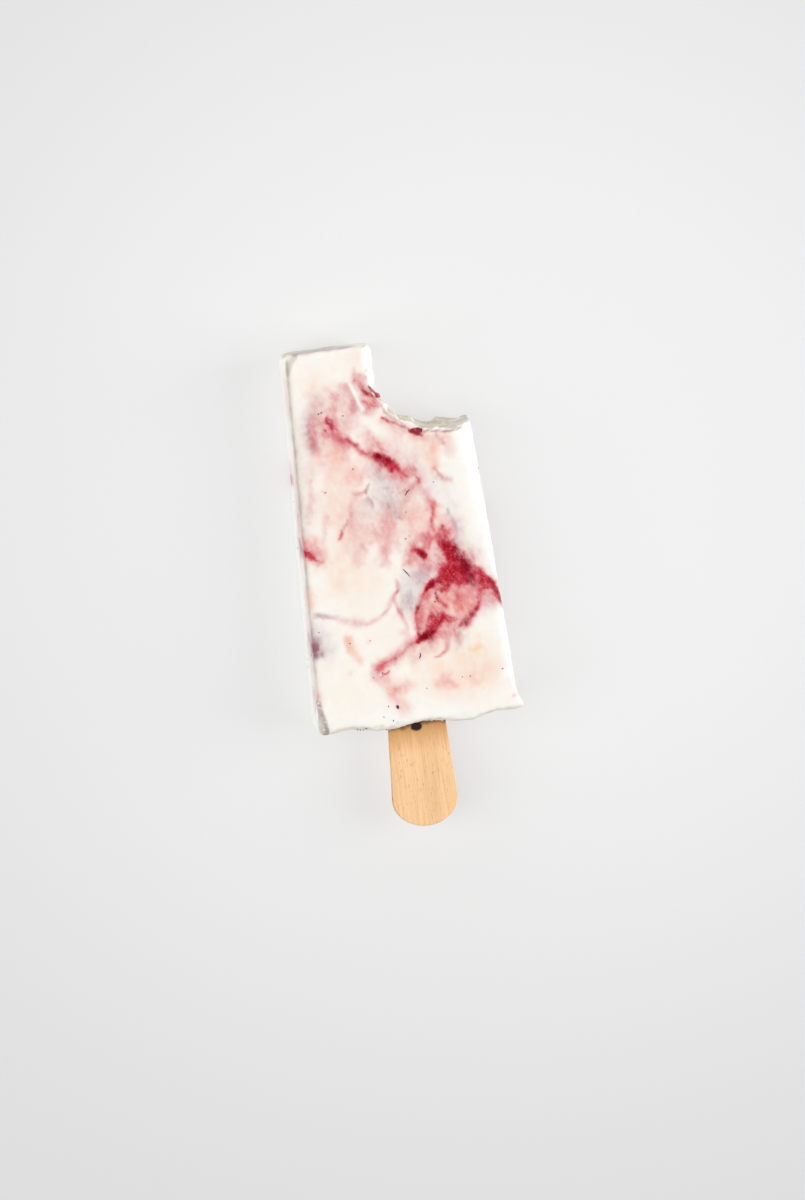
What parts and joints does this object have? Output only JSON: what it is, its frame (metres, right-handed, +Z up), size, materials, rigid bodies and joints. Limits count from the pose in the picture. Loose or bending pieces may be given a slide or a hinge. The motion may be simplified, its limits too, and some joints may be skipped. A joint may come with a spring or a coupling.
{
  "type": "ice pop",
  "caption": "Fruit-ripple frozen yoghurt bar on a flat wooden stick, with a bite out of one corner of its tip, lying on its back.",
  "frame": {"origin": "centre of the bar's flat back, which it rests on", "axes": "+X across the bar to the bitten side, +Y from the stick towards the tip, +Z up out of the front face"},
  "size_m": [0.055, 0.1301, 0.022],
  "materials": {
    "ice": "frozen yoghurt, cream with a crimson and pink fruit ripple, softly melting satin skin and frosty bitten face",
    "stick": "bare sanded birch, fine lengthwise grain"
  },
  "bodies": {
    "root": {"ice_bar": "ice", "stick": "stick"}
  },
  "joints": []
}
